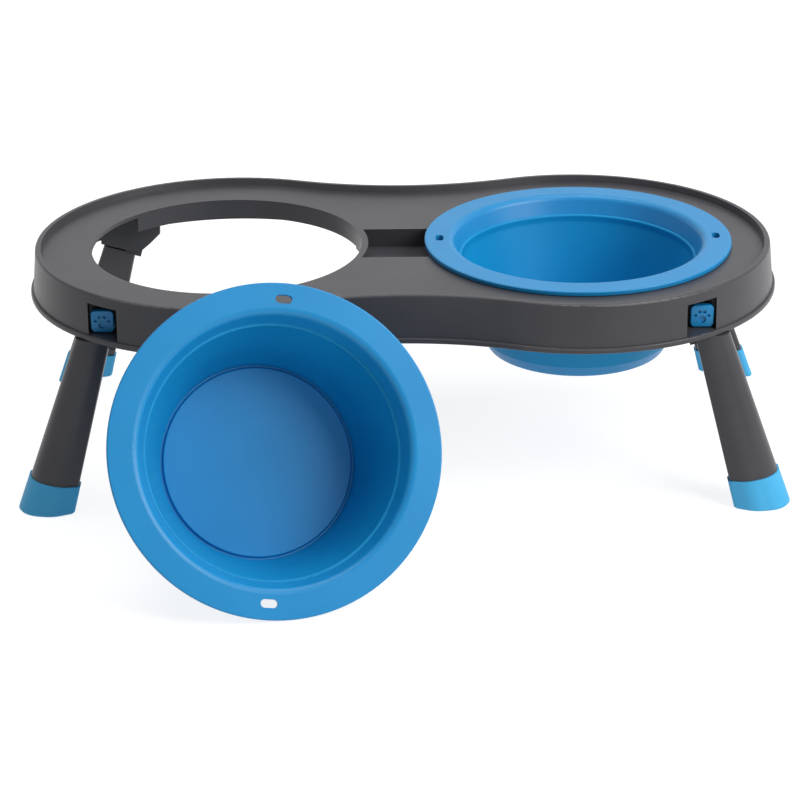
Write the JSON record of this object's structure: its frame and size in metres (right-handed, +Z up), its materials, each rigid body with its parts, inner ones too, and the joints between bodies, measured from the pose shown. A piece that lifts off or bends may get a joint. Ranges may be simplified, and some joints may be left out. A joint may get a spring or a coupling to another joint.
{
  "type": "elevated pet feeder",
  "caption": "Raised double pet feeder: figure-eight tray on folding splayed legs with release buttons and collapsible lift-out bowls, one seated and one leaning on the front.",
  "frame": {"origin": "on the floor below the middle of the platform", "axes": "+X along the platform to the picture's right, +Y to the rear, away from the viewer, +Z up"},
  "size_m": [0.4846, 0.3882, 0.1714],
  "materials": {
    "charcoal_plastic": "fine matt moulded plastic",
    "blue_plastic": "satin moulded plastic",
    "blue_rubber": "soft matt elastomer",
    "light_blue_rubber": "soft matt elastomer, paler than the bowls",
    "steel": "plain steel"
  },
  "bodies": {
    "platform": {"platform": "charcoal_plastic", "front_left_hinge_pin": "steel", "front_left_lock_spring": "steel", "front_right_hinge_pin": "steel", "front_right_lock_spring": "steel", "rear_left_hinge_pin": "steel", "rear_left_lock_spring": "steel", "rear_right_hinge_pin": "steel", "rear_right_lock_spring": "steel"},
    "front_left_leg": {"front_left_leg": "charcoal_plastic", "front_left_foot": "light_blue_rubber"},
    "front_left_button": {"front_left_button": "blue_plastic"},
    "front_right_leg": {"front_right_leg": "charcoal_plastic", "front_right_foot": "light_blue_rubber"},
    "front_right_button": {"front_right_button": "blue_plastic"},
    "rear_left_leg": {"rear_left_leg": "charcoal_plastic", "rear_left_foot": "light_blue_rubber"},
    "rear_left_button": {"rear_left_button": "blue_plastic"},
    "rear_right_leg": {"rear_right_leg": "charcoal_plastic", "rear_right_foot": "light_blue_rubber"},
    "rear_right_button": {"rear_right_button": "blue_plastic"},
    "seated_bowl": {"seated_bowl_rim": "blue_plastic", "seated_bowl_wall": "blue_rubber"},
    "seated_bowl_base": {"seated_bowl_base": "blue_plastic"},
    "loose_bowl": {"loose_bowl_rim": "blue_plastic", "loose_bowl_wall": "blue_rubber"},
    "loose_bowl_base": {"loose_bowl_base": "blue_plastic"}
  },
  "joints": [
    {"name": "front_left_leg_fold", "type": "hinge", "parent": "platform", "child": "front_left_leg", "pos_m": [-0.1806, -0.0828, 0.1105], "axis": [0, -1, 0], "range_deg": [0, 90], "deforming": ["front_left_lock_spring"]},
    {"name": "front_left_button_press", "type": "slide", "parent": "platform", "child": "front_left_button", "axis": [0, 1, 0], "range_m": [0, 0.003], "stiffness_N_per_m": 900, "springref_m": -0.001, "deforming": ["front_left_lock_spring"]},
    {"name": "front_right_leg_fold", "type": "hinge", "parent": "platform", "child": "front_right_leg", "pos_m": [0.1806, -0.0828, 0.1105], "axis": [0, 1, 0], "range_deg": [0, 90], "deforming": ["front_right_lock_spring"]},
    {"name": "front_right_button_press", "type": "slide", "parent": "platform", "child": "front_right_button", "axis": [0, 1, 0], "range_m": [0, 0.003], "stiffness_N_per_m": 900, "springref_m": -0.001, "deforming": ["front_right_lock_spring"]},
    {"name": "rear_left_leg_fold", "type": "hinge", "parent": "platform", "child": "rear_left_leg", "pos_m": [-0.1806, 0.0828, 0.1105], "axis": [0, -1, 0], "range_deg": [0, 90], "deforming": ["rear_left_lock_spring"]},
    {"name": "rear_left_button_press", "type": "slide", "parent": "platform", "child": "rear_left_button", "axis": [0, -1, 0], "range_m": [0, 0.003], "stiffness_N_per_m": 900, "springref_m": -0.001, "deforming": ["rear_left_lock_spring"]},
    {"name": "rear_right_leg_fold", "type": "hinge", "parent": "platform", "child": "rear_right_leg", "pos_m": [0.1806, 0.0828, 0.1105], "axis": [0, 1, 0], "range_deg": [0, 90], "deforming": ["rear_right_lock_spring"]},
    {"name": "rear_right_button_press", "type": "slide", "parent": "platform", "child": "rear_right_button", "axis": [0, -1, 0], "range_m": [0, 0.003], "stiffness_N_per_m": 900, "springref_m": -0.001, "deforming": ["rear_right_lock_spring"]},
    {"name": "seated_bowl_lift_out", "type": "slide", "parent": "platform", "child": "seated_bowl", "axis": [0, 0, 1], "range_m": [0, 0.12]},
    {"name": "seated_bowl_collapse", "type": "slide", "parent": "seated_bowl", "child": "seated_bowl_base", "axis": [0, 0, 1], "range_m": [0, 0.045], "deforming": ["seated_bowl_wall"]},
    {"name": "loose_bowl_lift_out", "type": "slide", "parent": "platform", "child": "loose_bowl", "axis": [0.2241, -0.8365, 0.5], "range_m": [0, 0.12]},
    {"name": "loose_bowl_collapse", "type": "slide", "parent": "loose_bowl", "child": "loose_bowl_base", "axis": [0.2241, -0.8365, 0.5], "range_m": [0, 0.045], "deforming": ["loose_bowl_wall"]}
  ]
}
